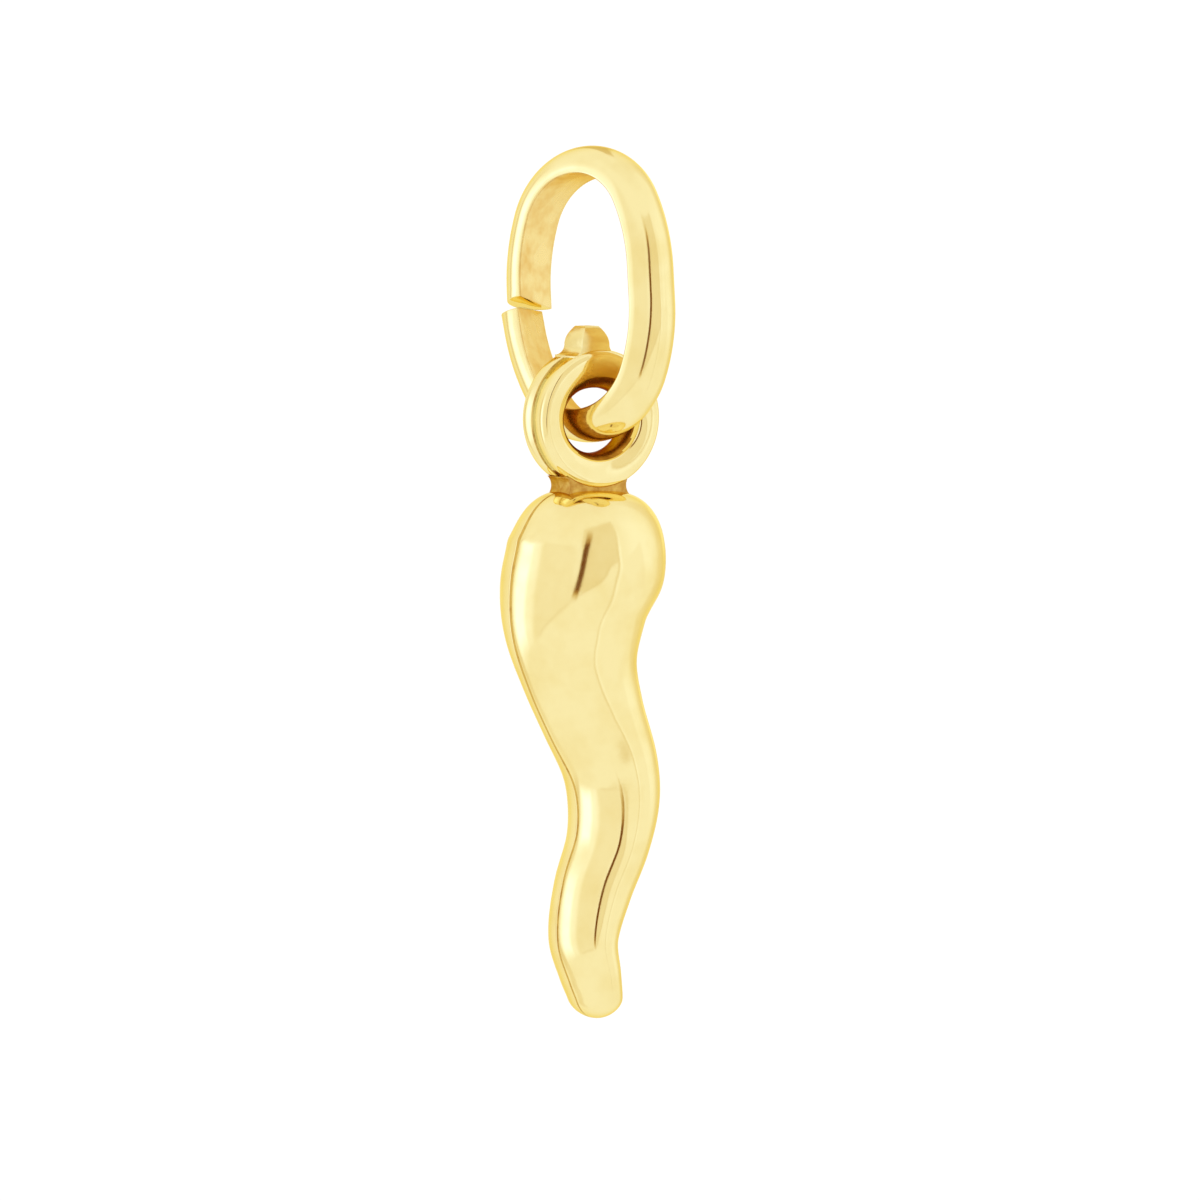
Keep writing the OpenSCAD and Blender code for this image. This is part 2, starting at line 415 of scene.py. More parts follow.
@dataclass
class Arch:
    """One end of the oval: two long side bends and a tight end bend between them. Millimetres."""

    height: float
    half_width: float
    end_radius: float

    @property
    def side_radius(self) -> float:
        """Radius of the side bend, which meets the limb and the end bend without a corner."""
        rise = self.height - self.end_radius
        spare = self.half_width - self.end_radius
        return (self.half_width**2 + rise**2 - self.end_radius**2) / (2 * spare)

    @property
    def side_angle(self) -> float:
        """Angle that the side bend turns through, in radians."""
        return math.atan2(self.height - self.end_radius, self.side_radius - self.half_width)


class Bend(NamedTuple):
    """A bend of the wire: its middle, its turn in radians, its steps and if it is the free end's."""

    centre: Vector
    angle: float
    steps: int
    free: bool = False


@dataclass
class OvalBail:
    """The open oval bail of half-round wire, flat side inwards. Millimetres and degrees.

    The wire's crown is its round side. free_bend is the share of the free end's way from the foot
    to the cut that lies on its bend, and the rest is the straight tip.
    """

    inner_width: float = 3.46
    top_arch: float = 2.66
    limb: float = 0.83
    foot_arch: float = 2.54
    end_radius: float = 1.5
    wire_width: float = 1.38
    wire_height: float = 0.74
    wire_flank: float = 0.06
    edge_radius: float = 0.05
    cant: float = 3.0
    spring: float = 5.0
    twist: float = 8.0
    aside: float = 0.14
    cut_up: float = 0.11
    held_slant: float = 7.0
    free_slant: float = -5.0
    turn: float = 69.0
    lean: float = 9.0
    dip: float = 10.5
    middle_share: float = 0.45
    end_bevel: float = 0.025
    free_bend: float = 5 / 6
    bend_step: float = 2.0
    crown_steps: int = 40
    edge_steps: int = 4
    flat_cuts: int = 8

    @property
    def placement(self) -> Matrix:
        """Takes the oval from its own plane, X across, Y up and Z to the front, to its place."""
        return (
            Matrix.Rotation(math.radians(-self.turn), 4, "Z")
            @ Matrix.Rotation(math.radians(-self.dip), 4, "Y")
            @ Matrix.Rotation(math.radians(-self.lean), 4, "X")
            @ Matrix.Rotation(math.radians(90), 4, "X")
        )

    @property
    def wire_middle(self) -> float:
        """How far the middle of the wire's section lies from its flat."""
        return self.wire_height * self.middle_share

    @property
    def swing_point(self) -> Vector:
        """Middle of the wire at the foot of the oval, which the horn swings about."""
        inner = self.top_arch + self.limb + self.foot_arch
        return self.placement @ Vector((0, -inner - self.wire_middle, 0))

    def section(self, mesh: bmesh.types.BMesh) -> list[bmesh.types.BMEdge]:
        """Draws the half-round section at the cut in the left limb.

        Args:
            mesh: an empty mesh, which gets a layer that marks the flat.

        Returns:
            The section's edges.
        """
        flat = mesh.verts.layers.float.new("flat")
        half, edge = self.wire_width / 2, self.edge_radius
        axis = Vector((0, 1, 0))
        # The upper corner is finished like the flat, up to where the wire's side begins.
        start = mesh.verts.new((0, 0, half - edge))
        start[flat] = 1.0
        upper = draw_arc(mesh, start, Vector((edge, 0, half - edge)), axis, 90, self.edge_steps)
        upper[-1][flat] = 0.0
        # The crown is spun round and then pressed to the wire's height.
        crown = draw_arc(mesh, mesh.verts.new((0, 0, half)), Vector(), axis, 180, self.crown_steps)
        rise = (self.wire_height - self.wire_flank) / half
        for vert in crown:
            vert.co.x = self.wire_flank + abs(vert.co.x) * rise
        lower = mesh.verts.new((edge, 0, -half))
        draw_arc(mesh, lower, Vector((edge, 0, edge - half)), axis, 90, self.edge_steps)
        bmesh.ops.remove_doubles(mesh, verts=mesh.verts, dist=TOUCHING)
        ends = [v for v in mesh.verts if len(v.link_edges) == 1]
        ends.sort(key=lambda v: (v.co.z, -v.co.x))
        flat_edge = mesh.edges.new([v for v in ends if v.co.x < TOUCHING])
        for flank in self.flanks([v for v in ends if v.co.x >= TOUCHING]):
            mesh.edges.new(flank)
        bmesh.ops.subdivide_edges(mesh, edges=[flat_edge], cuts=self.flat_cuts)
        for vert in mesh.verts:
            if vert.co.x < TOUCHING:
                vert[flat] = 1.0
        middle = Matrix.Translation((self.wire_middle, 0, 0))
        cant = middle @ Matrix.Rotation(math.radians(-self.cant), 4, "Y") @ middle.inverted()
        bmesh.ops.transform(mesh, matrix=cant, verts=mesh.verts)
        cut_y = -self.top_arch - self.limb / 2 + self.cut_up
        place = Matrix.Translation((-self.inner_width / 2, cut_y, 0)) @ Matrix.Rotation(math.pi, 4, "Y")
        flip = Matrix.Scale(-1, 4, (0, 0, 1))
        bmesh.ops.transform(mesh, matrix=place @ flip, verts=mesh.verts)
        return list(mesh.edges)

    @staticmethod
    def flanks(ends: Sequence[bmesh.types.BMVert]) -> list[list[bmesh.types.BMVert]]:
        """Pairs the loose ends on either flank of the section."""
        sides = ([v for v in ends if v.co.z < 0], [v for v in ends if v.co.z > 0])
        return [side for side in sides if len(side) == 2]

    def route(self) -> list[Bend | Vector]:
        """Lists the bends and straight runs from the cut round to the cut, clockwise.

        Returns:
            A Bend, or a Vector for a straight run.
        """
        half = self.inner_width / 2
        top = Arch(self.top_arch, half, self.end_radius)
        foot = Arch(self.foot_arch, half, self.end_radius)
        top_y, foot_y = -self.top_arch, -self.top_arch - self.limb
        foot_middle = Vector((0, foot_y - self.foot_arch + self.end_radius, 0))
        spring = math.radians(self.spring)
        there, back = Matrix.Translation(foot_middle), Matrix.Translation(-foot_middle)
        swing = there @ Matrix.Rotation(spring, 4, "Z") @ back

        def bend(x: float, y: float, angle: float) -> Bend:
            steps = max(2, round(math.degrees(angle) / self.bend_step))
            return Bend(Vector((x, y, 0)), -angle, steps)

        last = bend(foot.side_radius - half, foot_y, foot.side_angle)
        return [
            Vector((0, self.limb / 2 - self.cut_up, 0)),
            bend(top.side_radius - half, top_y, top.side_angle),
            bend(0, -self.end_radius, math.pi - 2 * top.side_angle),
            bend(half - top.side_radius, top_y, top.side_angle),
            Vector((0, -self.limb, 0)),
            bend(half - foot.side_radius, foot_y, foot.side_angle),
            bend(foot_middle.x, foot_middle.y, math.pi - 2 * foot.side_angle - spring),
            last._replace(centre=swing @ last.centre, free=True),
            swing.to_3x3() @ Vector((0, self.limb / 2 + self.cut_up, 0)),
        ]

    def build(self) -> bpy.types.Object:
        """Sweeps the section round the oval and closes the two cut ends.

        Returns:
            The bail.
        """
        mesh = bmesh.new()
        edges = self.section(mesh)
        first = list(edges)
        normal = Vector((0, 0, 1))
        for run in self.route():
            if isinstance(run, Bend):
                for k in range(run.steps):
                    edges = spin_step(mesh, edges, run.centre, normal, run.angle / run.steps)
                    if run.free:
                        before, after = (self.free_bend * n / run.steps for n in (k, k + 1))
                        self.loosen(mesh, edges, before, after)
            else:
                edges, moved = extrude_ring(mesh, edges)
                bmesh.ops.translate(mesh, vec=run, verts=moved)
        self.loosen(mesh, edges, self.free_bend, 1.0)
        for loop, slant in ((first, self.held_slant), (edges, self.free_slant)):
            for vert in verts_of(loop):
                vert.co.y += vert.co.z * math.tan(math.radians(slant))
            bmesh.ops.holes_fill(mesh, edges=loop, sides=0)
        bmesh.ops.recalc_face_normals(mesh, faces=mesh.faces)
        bmesh.ops.bevel(
            mesh,
            geom=[e for e in mesh.edges if any(len(f.verts) > WALL_CORNERS for f in e.link_faces)],
            offset=self.end_bevel,
            segments=2,
            affect="EDGES",
            profile=0.5,
            material=-1,
            clamp_overlap=True,
        )
        flat = mesh.verts.layers.float["flat"]
        for face in mesh.faces:
            is_wall = len(face.verts) <= WALL_CORNERS
            face.material_index = int(is_wall and all(v[flat] > 0.5 for v in face.verts))
        bmesh.ops.transform(mesh, matrix=self.placement, verts=mesh.verts)
        return finish_piece(mesh, "bail_wire", "bail", "bail", (BUFFED, DRAWN))

    def loosen(self, mesh: bmesh.types.BMesh, edges: list, before: float, after: float) -> None:
        """Twists one ring of the free end about the wire and moves it aside, as the open end stands.

        Args:
            mesh: the mesh being built.
            edges: the ring.
            before: the last ring's share of the way from the foot to the tip.
            after: this ring's share.
        """
        ring = verts_of(edges)
        middle = sum((v.co for v in ring), Vector()) / len(ring)
        flat = [v.co for v in ring if v.co.x > middle.x]
        outward = middle - sum(flat, Vector()) / len(flat)
        along = outward.cross(Vector((0, 0, 1))).normalized()
        twist = Matrix.Rotation(math.radians(self.twist) * (after - before), 3, along)
        bmesh.ops.rotate(mesh, cent=middle, matrix=twist, verts=ring)
        bmesh.ops.translate(mesh, vec=(0, 0, self.aside * (after**2 - before**2)), verts=ring)


@dataclass
class EyeRing:
    """The domed ring that the horn hangs by, its axis from front to back. Millimetres.

    dome_power is 2 for a round inner wall, and more makes it fuller. top_band and foot_band are
    what the band is broader by above and below the hole.
    """

    centre: Vector
    hole_radius: float
    band: float = 0.77
    thickness: float = 1.12
    edge_radius: float = 0.16
    seam: float = 0.05
    # How far out from the hole's edge the painted shade reaches over the wall.
    painted_shade_depth: float = 0.1
    dome_power: float = 2.6
    top_band: float = 0.2
    foot_band: float = 0.09
    dome_steps: int = 36
    edge_steps: int = 8
    steps: int = 160

    @property
    def outer_radius(self) -> float:
        """Radius of the ring's outer edge."""
        return self.hole_radius + self.band

    def build(self) -> bpy.types.Object:
        """Spins the band's profile round the hole.

        Returns:
            The ring.
        """
        mesh = bmesh.new()
        dome = self.thickness / 2
        dome_x = self.hole_radius + dome
        edge_x = self.outer_radius - self.edge_radius
        round_y = dome - self.edge_radius
        normal = Vector((0, 0, 1))
        start = mesh.verts.new((dome_x, dome, 0))
        tip = draw_arc(mesh, start, Vector((dome_x, 0, 0)), normal, 180, self.dome_steps)[-1]
        for vert in mesh.verts:
            out, side = (dome_x - vert.co.x) / dome, vert.co.y / dome
            vert.co.x = dome_x - dome * max(out, 0.0) ** (2 / self.dome_power)
            vert.co.y = math.copysign(dome * abs(side) ** (2 / self.dome_power), side)
        tip = draw_line(mesh, tip, Vector((edge_x - dome_x, 0, 0)))
        tip = draw_arc(mesh, tip, Vector((edge_x, -round_y, 0)), normal, 90, self.edge_steps)[-1]
        # The rim, with the groove between the stamped halves.
        rim, seam = round_y - self.seam, self.seam
        for run in ((0, rim, 0), (-seam, seam, 0), (seam, seam, 0), (0, rim, 0)):
            tip = draw_line(mesh, tip, Vector(run))
        tip = draw_arc(mesh, tip, Vector((edge_x, round_y, 0)), normal, 90, self.edge_steps)[-1]
        draw_line(mesh, tip, Vector((dome_x - edge_x, 0, 0)))
        bmesh.ops.remove_doubles(mesh, verts=mesh.verts, dist=TOUCHING)
        bmesh.ops.spin(
            mesh,
            geom=list(mesh.edges),
            cent=(0, 0, 0),
            axis=(0, 1, 0),
            angle=math.tau,
            steps=self.steps,
            use_merge=True,
            use_duplicate=False,
        )
        for vert in mesh.verts:
            reach = math.hypot(vert.co.x, vert.co.z)
            share = max(0.0, (self.outer_radius - reach) / self.band)
            rise = vert.co.z / reach
            broader = (self.top_band if rise > 0 else self.foot_band) * rise**2 * share
            vert.co.x *= 1 - broader / reach
            vert.co.z *= 1 - broader / reach
        # The rim's groove gets the seam's solder, and the wall of the hole gets the painted shade.
        for face in mesh.faces:
            middle = face.calc_center_median()
            reach = math.hypot(middle.x, middle.z)
            if abs(middle.y) < self.seam and reach > self.outer_radius - self.seam:
                face.material_index = 2
            elif reach < self.hole_radius + self.painted_shade_depth:
                face.material_index = 1
        bmesh.ops.translate(mesh, vec=self.centre, verts=mesh.verts)
        return finish_piece(mesh, "eye_ring", "horn", "horn", (BUFFED, PAINTED_HOLE_SHADE, SEAM))


@dataclass
class Stub:
    """A short stub with filleted sides, soldered in place. Millimetres, heights from its foot.

    width and depth are those at the waist, where the fillets end. top_width and top_depth are the
    shares of them that are left at the top.
    """

    foot: Vector
    name: str
    finish: GoldFinish
    width: float
    depth: float
    height: float
    waist: float
    fillet: float
    depth_fillet: float
    radius: float
    top_width: float = 1.0
    top_depth: float = 1.0
    rows: int = 20
    radius_steps: int = 6

    def spread(self, height: float) -> tuple[float, float]:
        """Width and depth at a height, filleted at the foot and at a top that doesn't narrow."""
        above = max(0.0, height - self.waist) / (self.height - self.waist)
        off = min(abs(height - self.waist) / self.fillet, 1.0)
        swell = 1 - math.sqrt(1 - off**2)
        if self.top_width < 1 and height > self.waist:
            swell = 0.0
        wide = (self.width + 2 * self.fillet * swell) * (1 - (1 - self.top_width) * above**2)
        deep = (self.depth + 2 * self.depth_fillet * swell) * (1 - (1 - self.top_depth) * above**2)
        return wide, deep

    def build(self) -> bpy.types.Object:
        """Shapes the stub from a block: cut into rows, each row as wide as the fillets leave it.

        Returns:
            The stub.
        """
        mesh = bmesh.new()
        bmesh.ops.create_cube(mesh, size=1.0)
        bmesh.ops.translate(mesh, vec=(0, 0, 0.5), verts=mesh.verts)
        walls = [e for e in mesh.edges if abs(e.verts[0].co.z - e.verts[1].co.z) > 0.5]
        bmesh.ops.subdivide_edges(mesh, edges=walls, cuts=self.rows, use_grid_fill=True)
        bmesh.ops.bevel(
            mesh,
            geom=[e for e in mesh.edges if len({v.co.z for v in e.verts}) == 2],
            offset=self.radius / self.width,
            segments=self.radius_steps,
            affect="EDGES",
            profile=0.5,
            material=-1,
            clamp_overlap=True,
        )
        for vert in mesh.verts:
            height = vert.co.z * self.height
            wide, deep = self.spread(height)
            vert.co = (vert.co.x * wide, vert.co.y * deep, height)
        bmesh.ops.translate(mesh, vec=self.foot, verts=mesh.verts)
        return finish_piece(mesh, self.name, "horn", "horn", (self.finish,))


@dataclass
class FoldTab(Stub):
    """The folded tab on top of the ring, which narrows to its top."""

    name: str = "fold_tab"
    finish: GoldFinish = FOLDED
    width: float = 0.8
    depth: float = 0.88
    height: float = 0.88
    waist: float = 0.42
    fillet: float = 0.26
    depth_fillet: float = 0.03
    radius: float = 0.3
    top_width: float = 0.5
    top_depth: float = 0.55


@dataclass
class Neck(Stub):
    """The soldered neck between the ring and the horn, flared both ways."""

    name: str = "neck"
    finish: GoldFinish = SOLDERED
    width: float = 1.66
    depth: float = 0.92
    height: float = 0.6
    waist: float = 0.36
    fillet: float = 0.34
    depth_fillet: float = 0.05
    radius: float = 0.12


class Section(NamedTuple):
    """One section of the horn.

    down is a share of its length, aside and width are shares of its width, thick of its thickness.
    """

    down: float
    aside: float
    width: float
    thick: float


SECTIONS = (
    Section(0.00, 0.000, 0.975, 1.020),
    Section(0.08, -0.012, 0.975, 1.020),
    Section(0.14, -0.042, 0.977, 1.030),
    Section(0.20, -0.110, 0.915, 1.005),
    Section(0.27, -0.118, 0.848, 0.853),
    Section(0.35, -0.076, 0.719, 0.694),
    Section(0.43, 0.014, 0.635, 0.659),
    Section(0.52, 0.128, 0.555, 0.721),
    Section(0.59, 0.157, 0.508, 0.732),
    Section(0.67, 0.117, 0.451, 0.690),
    Section(0.76, 0.007, 0.424, 0.635),
    Section(0.85, -0.054, 0.360, 0.608),
    Section(0.92, -0.005, 0.298, 0.590),
    Section(0.97, 0.035, 0.250, 0.520),
    Section(1.00, 0.045, 0.220, 0.460),
)


@dataclass
class HornShell:
    """The stamped horn below the neck, with the groove along its solder seam. Millimetres.

    shoulder and tip are the lengths of the rounded ends, bend_reach is how far to either side a
    ring looks for its slant, and the seam stops are directions from the seam in radians.
    """

    eye: Vector
    shoulder_z: float
    length: float = 13.28
    width: float = 4.2
    thickness: float = 3.6
    shoulder: float = 2.0
    tip: float = 0.5
    shoulder_power: float = 0.29
    tip_power: float = 0.5
    power: float = 2.1
    seam_depth: float = 0.06
    groove_reach: float = 0.035
    solder_from: float = 0.3
    bend_reach: float = 0.6
    rings: int = 150
    end_share: float = 0.004
    even_share: float = 0.25
    seam_stops: tuple[float, ...] = (0.0, 0.02, 0.035, 0.05, 0.075, 0.12)
    face_stops: int = 22

    def column(self, name: str, share: float) -> float:
        """Reads a column of the table on a smooth curve.

        Args:
            name: the column.
            share: how far down the horn, from 0 to 1.

        Returns:
            The column's value there.
        """
        last = len(SECTIONS) - 1
        i = max(k for k in range(last) if SECTIONS[k].down <= max(share, 0.0))

        def slope(k: int) -> float:
            a, b = SECTIONS[max(k - 1, 0)], SECTIONS[min(k + 1, last)]
            return (getattr(b, name) - getattr(a, name)) / (b.down - a.down)

        a, b = SECTIONS[i], SECTIONS[i + 1]
        step = b.down - a.down
        t = (share - a.down) / step
        return (
            (2 * t**3 - 3 * t**2 + 1) * getattr(a, name)
            + (t**3 - 2 * t**2 + t) * step * slope(i)
            + (3 * t**2 - 2 * t**3) * getattr(b, name)
            + (t**3 - t**2) * step * slope(i + 1)
        )

    def middle(self, down: float) -> Vector:
        """Middle of the section at a distance down the horn."""
        aside = self.column("aside", down / self.length) * self.width
        return Vector((self.eye.x + aside, self.eye.y, self.shoulder_z - down))

    def fullness(self, down: float) -> float:
        """Rounding of the two ends: 0 at the very end, 1 once past the rounded length."""

        def rounded(run: float, length: float, power: float) -> float:
            return 1.0 if run >= length else max(0.0, 1 - (1 - run / length) ** 2) ** power

        shoulder = rounded(down, self.shoulder, self.shoulder_power)
        return shoulder * rounded(self.length - down, self.tip, self.tip_power)

    def placement(self, down: float) -> Matrix:
        """Takes a section of unit half-width and half-thickness to its place.

        Args:
            down: the distance down the horn.

        Returns:
            The matrix.
        """
        share = down / self.length
        below = self.middle(min(down + self.bend_reach, self.length))
        along = (below - self.middle(max(down - self.bend_reach, 0.0))).normalized()
        across = Vector((-along.z, 0, along.x))
        full = self.fullness(down)
        half_width = self.column("width", share) * self.width / 2 * full
        half_thick = self.column("thick", share) * self.thickness / 2 * full
        columns = Matrix.Identity(4)
        columns.col[0] = (across * half_width).to_4d()
        columns.col[1] = Vector((0, half_thick, 0, 0))
        columns.col[2] = along.to_4d()
        columns.col[0][3] = columns.col[2][3] = 0
        middle = self.middle(down)
        columns.col[3] = (middle.x, middle.y, middle.z, 1)
        return columns

    def angles(self) -> list[float]:
        """Directions of the section's points, close together at both seams, in radians."""
        quarter = list(self.seam_stops)
        left = math.pi / 2 - quarter[-1]
        quarter += [quarter[-1] + left * (k + 1) / self.face_stops for k in range(self.face_stops)]
        half = quarter + [math.pi - a for a in reversed(quarter[:-1])]
        return half + [-a for a in reversed(half[1:-1])]

    def stations(self) -> list[float]:
        """Distances down the horn, close together at both rounded ends."""
        first, last = self.shoulder * self.end_share, self.length - self.tip * self.end_share
        out = []
        for i in range(self.rings):
            t = i / (self.rings - 1)
            eased = (1 - math.cos(math.pi * t)) / 2
            out.append(first + (last - first) * (self.even_share * t + (1 - self.even_share) * eased))
        return out

    def build(self) -> bpy.types.Object:
        """Draws the first section and extrudes it down the horn.

        Returns:
            The shell.
        """
        mesh = bmesh.new()
        seam = mesh.verts.layers.float.new("seam")
        angles = self.angles()
        ring = bmesh.ops.create_circle(mesh, cap_ends=False, radius=1.0, segments=len(angles))["verts"]
        ring.sort(key=lambda v: (math.atan2(v.co.y, v.co.x) + NUDGE) % math.tau)
        for vert, angle in zip(ring, angles):
            c, s = math.cos(angle), math.sin(angle)
            reach = (abs(c) ** self.power + abs(s) ** self.power) ** (-1 / self.power)
            vert.co = (c * reach, s * reach, 0)
            vert[seam] = math.copysign(max(0.0, 1 - abs(s) / self.groove_reach), c)
        stations = self.stations()
        place = self.placement(stations[0])
        bmesh.ops.transform(mesh, matrix=place, verts=mesh.verts)
        edges = list(mesh.edges)
        bmesh.ops.holes_fill(mesh, edges=edges, sides=0)
        for down in stations[1:]:
            edges, moved = extrude_ring(mesh, edges)
            step = self.placement(down)
            bmesh.ops.transform(mesh, matrix=step @ place.inverted(), verts=moved)
            place = step
        bmesh.ops.holes_fill(mesh, edges=edges, sides=0)
        self.cut_seam(mesh)
        return finish_piece(mesh, "horn_shell", "horn", "horn", (BUFFED, SEAM))

    def cut_seam(self, mesh: bmesh.types.BMesh) -> None:
        """Sinks the points along both seams into the groove between the stamped halves.

        Args:
            mesh: the horn, which carries a layer with 1 or -1 on the seam, fading to 0 beside it.
        """
        seam = mesh.verts.layers.float["seam"]
        for vert in mesh.verts:
            if vert[seam]:
                vert.co.x -= self.seam_depth * vert[seam] * self.fullness(self.shoulder_z - vert.co.z)
        for face in mesh.faces:
            deepest = max(abs(v[seam]) for v in face.verts)
            face.material_index = int(deepest > self.solder_from and len(face.verts) <= WALL_CORNERS)


class TentPatch(NamedTuple):
    """A soft-edged patch of the tent, in degrees as the pendant sees it.

    0 is the front, and right and up are positive. soft is the share of each half that fades.
    """

    across: float
    up: float
    half_wide: float
    half_high: float
    lean: float
    soft: float
    level: float


# Where the cloth is brighter or darker than 1, later patches over earlier ones.
TENT_PATCHES = (
    # The cloth overhead, then the lamp behind the cloth on the left, with its bright middle.
    TentPatch(0, 90, 200, 38, 0, 0.5, 0.96),
    TentPatch(-122, 0, 36, 38, 0, 0.6, 1.15),
    TentPatch(-125, -3, 17, 29, 0, 0.6, 1.42),
    # The weaker lamp on the right, and the duller cloth on either side of it.
    TentPatch(62, 14, 30, 34, 0, 0.6, 1.07),
    TentPatch(105, 10, 18, 60, 0, 0.6, 0.89),
    TentPatch(-62, 2, 36, 38, 0, 0.3, 0.94),
    TentPatch(-148, -6, 8, 44, 0, 0.7, 0.78),
    # The cloth behind the pendant: a shaded fold, two bright sheets and the bright sweep below.
    TentPatch(152, 45, 12, 28, 0, 0.5, 0.65),
    TentPatch(165, 6, 18, 16, 0, 0.5, 1.08),
    TentPatch(130, 8, 18, 12, 0, 0.5, 1.2),
    TentPatch(150, -12, 26, 7, 6, 0.6, 1.1),
    # The tent's darker front panel, cut off below by two slanting sheets with a hem line each, and
    # in it the dark slit that the lens looks through.
    TentPatch(3, 18, 26, 28, 0, 0.1, 0.84),
    TentPatch(9.5, -27.5, 60, 25, 20, 0.04, 1.0),
    TentPatch(-75.8, -54.2, 58, 30, 8, 0.04, 1.0),
    TentPatch(0, -4.3, 30, 0.9, 20, 0.5, 0.72),
    TentPatch(-58, -20.5, 32, 1.2, 12, 0.5, 0.85),
    TentPatch(-19, 13, 5.0, 31, -17, 0.4, 0.05),
    # The seam of the cloth that draws the pale line down the horn's front.
    TentPatch(30, -6, 1.5, 46, 0, 0.6, 1.12),
    TentPatch(27, -6, 1.5, 46, 0, 0.6, 0.76),
)
# The shade in the tent is warm, from light that the gold has thrown back. Red and blue are these
# powers of the level.
RED_SHADE, BLUE_SHADE = 0.6, 1.9


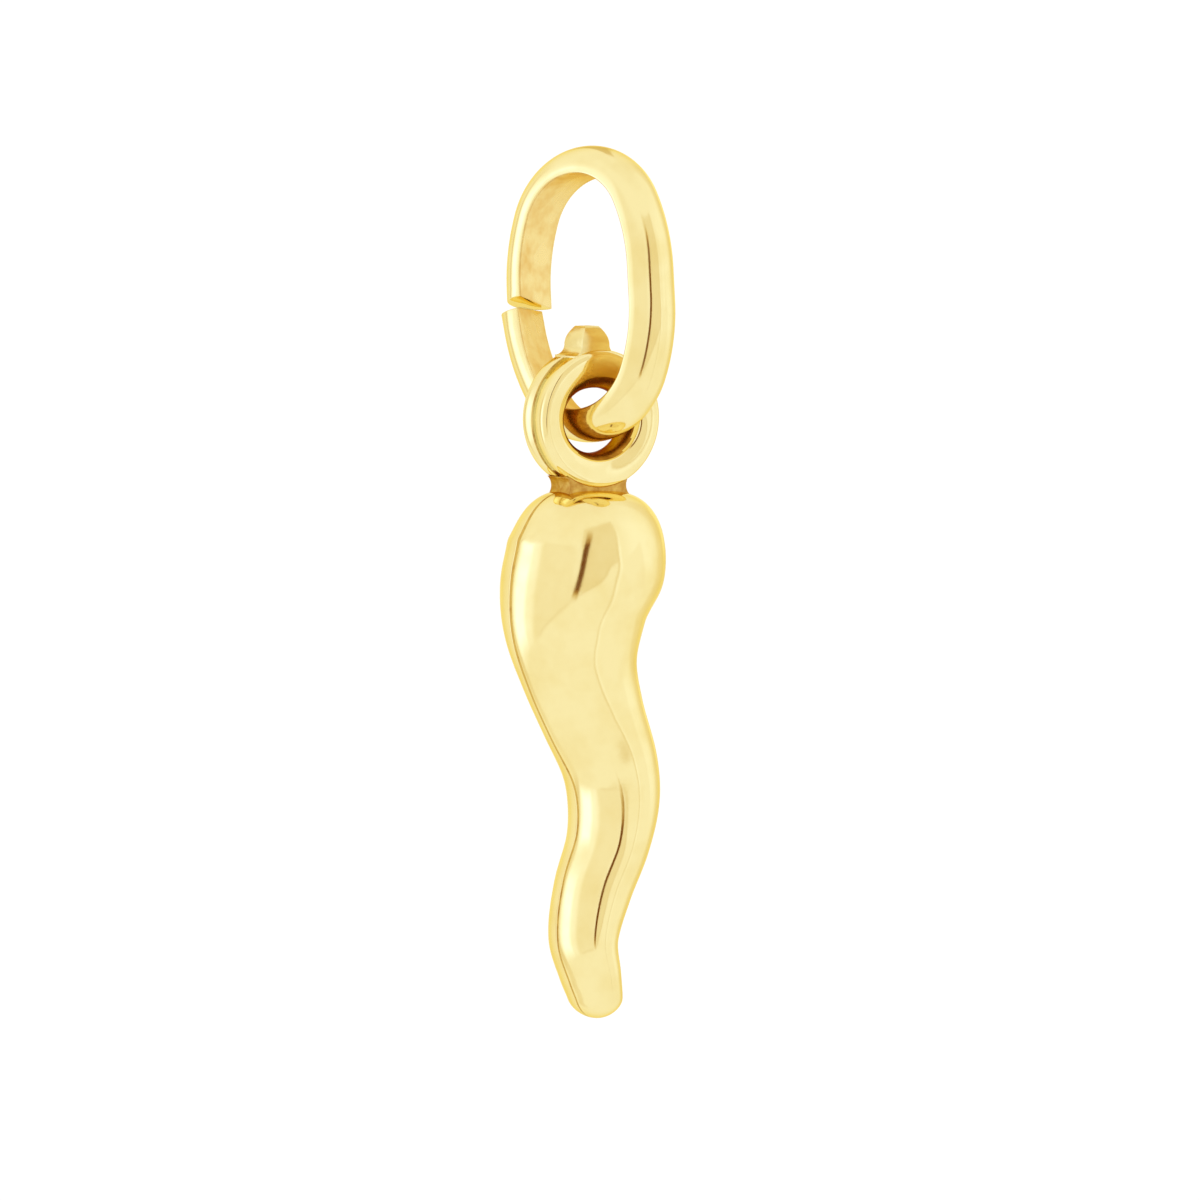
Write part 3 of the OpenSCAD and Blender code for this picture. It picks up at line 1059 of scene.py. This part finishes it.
@dataclass
class Studio:
    """The white light tent, the pale floor and the camera. Millimetres and degrees.

    anchor_px is where a point anchor_drop below the middle of the eye stands in an image of
    image_px square, and span is what that image shows there from side to side.
    """

    eye: Vector
    swing_left: float = 32.0
    height: float = 4.0
    span: float = 30.0
    distance: float = 400.0
    anchor_px: tuple[float, float] = (591.0, 419.5)
    image_px: int = 1200
    anchor_drop: float = 0.04
    sensor: float = 36.0
    near: float = 1.0
    far: float = 50_000.0
    floor_drop: float = 24.2
    floor_reach: float = 3000.0
    paper: str = "#FDFDFD"
    paper_roughness: float = 0.9
    paper_light: float = 0.35
    paper_light_spread: float = 60.0

    def axes(self) -> tuple[Vector, Vector, Vector]:
        """Right, up and the direction to the camera."""
        a, e = math.radians(self.swing_left), math.radians(self.height)
        back = Vector((-math.sin(a) * math.cos(e), -math.cos(a) * math.cos(e), math.sin(e)))
        right = Vector((math.cos(a), -math.sin(a), 0))
        return right, back.cross(right), back

    def camera(self) -> bpy.types.Object:
        """Sets up the long lens, a little to the left of the front and above it.

        Returns:
            The camera.
        """
        right, up, back = self.axes()
        scale = self.span / self.image_px
        middle = self.image_px / 2
        target = self.eye - Vector((0, 0, self.anchor_drop))
        target += right * (middle - self.anchor_px[0]) * scale
        target += up * (self.anchor_px[1] - middle) * scale
        data = bpy.data.cameras.new("lens")
        data.sensor_width = self.sensor
        data.lens = self.sensor * self.distance / self.span
        data.clip_start = self.near * MM
        data.clip_end = self.far * MM
        camera = bpy.data.objects.new("lens", data)
        turn = Matrix((right, up, back)).transposed().to_4x4()
        camera.matrix_world = Matrix.Translation((target + back * self.distance) * MM) @ turn
        bpy.context.scene.collection.objects.link(camera)
        bpy.context.scene.camera = camera
        return camera

    def floor(self) -> None:
        """Lays a wide pale floor of white paper below the tip."""
        mesh = bmesh.new()
        bmesh.ops.create_grid(mesh, x_segments=1, y_segments=1, size=self.floor_reach * MM)
        data = bpy.data.meshes.new("floor")
        mesh.to_mesh(data)
        mesh.free()
        plane = bpy.data.objects.new("floor", data)
        plane.location.z = (self.eye.z - self.floor_drop) * MM
        bpy.context.scene.collection.objects.link(plane)
        mat = bpy.data.materials.new("white_paper")
        mat.use_nodes = True
        shader = mat.node_tree.nodes["Principled BSDF"]
        shader.inputs["Base Color"].default_value = linear(self.paper)
        shader.inputs["Roughness"].default_value = self.paper_roughness
        data.materials.append(mat)
        # The gold mirrors the tent's lower cloth and not the paper.
        plane.visible_glossy = False

    def lamp(self) -> None:
        """Hangs a wide lamp overhead that whitens the paper and isn't mirrored in the gold."""
        lamp = bpy.data.objects.new("paper_lamp", bpy.data.lights.new("paper_lamp", "SUN"))
        lamp.data.energy = self.paper_light
        lamp.data.angle = math.radians(self.paper_light_spread)
        lamp.visible_glossy = False
        bpy.context.scene.collection.objects.link(lamp)

    def tent(self) -> None:
        """Lights the pendant all round with the tent's cloth and shows colours as they are."""
        bpy.context.scene.view_settings.view_transform = "Standard"
        world = bpy.data.worlds.new("tent")
        world.use_nodes = True
        bpy.context.scene.world = world
        tree = world.node_tree
        tree.nodes.clear()
        way = add_node(tree, "ShaderNodeTexCoord").outputs["Generated"]
        parts = add_node(tree, "ShaderNodeSeparateXYZ", Vector=way).outputs
        front = compute(tree, "MULTIPLY", parts["Y"], -1.0)
        across = compute(tree, "ARCTAN2", parts["X"], front)
        up = compute(tree, "ARCSINE", parts["Z"])
        place = add_node(tree, "ShaderNodeCombineXYZ", X=across, Y=up).outputs[0]
        level: float | bpy.types.NodeSocket = 1.0
        for patch in TENT_PATCHES:
            # In the patch's own space its edges are at 1 and -1.
            local = add_node(
                tree,
                "ShaderNodeMapping",
                {"vector_type": "TEXTURE"},
                Vector=place,
                Location=(math.radians(patch.across), math.radians(patch.up), 0),
                Rotation=(0, 0, math.radians(patch.lean)),
                Scale=(math.radians(patch.half_wide), math.radians(patch.half_high), 1),
            ).outputs[0]
            size = add_node(tree, "ShaderNodeVectorMath", {"operation": "ABSOLUTE"}, _0=local)
            sides = add_node(tree, "ShaderNodeSeparateXYZ", Vector=size.outputs[0]).outputs
            off = compute(tree, "MAXIMUM", sides["X"], sides["Y"])
            mask = add_node(
                tree,
                "ShaderNodeMapRange",
                {"interpolation_type": "SMOOTHSTEP"},
                Value=off,
                From_Min=1.0,
                From_Max=1.0 - patch.soft,
            ).outputs[0]
            level = add_node(tree, "ShaderNodeMix", _0=mask, _2=level, _3=patch.level).outputs[0]
        red = compute(tree, "POWER", level, RED_SHADE)
        blue = compute(tree, "POWER", level, BLUE_SHADE)
        shade = add_node(tree, "ShaderNodeCombineXYZ", X=red, Y=level, Z=blue).outputs[0]
        back = add_node(tree, "ShaderNodeBackground", Color=shade, Strength=1.0)
        add_node(tree, "ShaderNodeOutputWorld", Surface=back.outputs["Background"])


@dataclass
class Pendant:
    """The whole pendant, as it hangs at rest. Millimetres.

    wire_drop, wire_fore and wire_aside are how far the wire's middle stands below, in front and to
    the right of the middle of the eye. eye_play is what the hole has to spare round the wire.
    """

    bail: OvalBail = field(default_factory=OvalBail)
    eye_play: float = 0.35
    wire_drop: float = 0.18
    wire_fore: float = 0.165
    wire_aside: float = 0.07
    neck_height: float = 0.06
    neck_sink: float = 0.25
    neck_aside: float = 0.07
    tab_sink: float = 0.3
    tab_aside: float = 0.12

    def build(self) -> Vector:
        """Builds every piece.

        Returns:
            The middle of the eye ring, in millimetres.
        """
        self.bail.build()
        eye = self.bail.swing_point + Vector((-self.wire_aside, self.wire_fore, self.wire_drop))
        hole = (math.hypot(self.bail.wire_width, self.bail.wire_height) + self.eye_play) / 2
        ring = EyeRing(eye, hole)
        ring.build()
        FoldTab(eye + Vector((-self.tab_aside, 0, ring.outer_radius - self.tab_sink))).build()
        shoulder = eye.z - ring.outer_radius - self.neck_height
        Neck(Vector((eye.x - self.neck_aside, eye.y, shoulder - self.neck_sink))).build()
        HornShell(eye, shoulder).build()
        return eye


def main() -> None:
    """Builds the pendant and its studio."""
    logging.basicConfig(level=logging.INFO, format="%(message)s")
    eye = Pendant().build()
    studio = Studio(eye)
    studio.camera()
    studio.floor()
    studio.lamp()
    studio.tent()


if __name__ == "__main__":
    main()
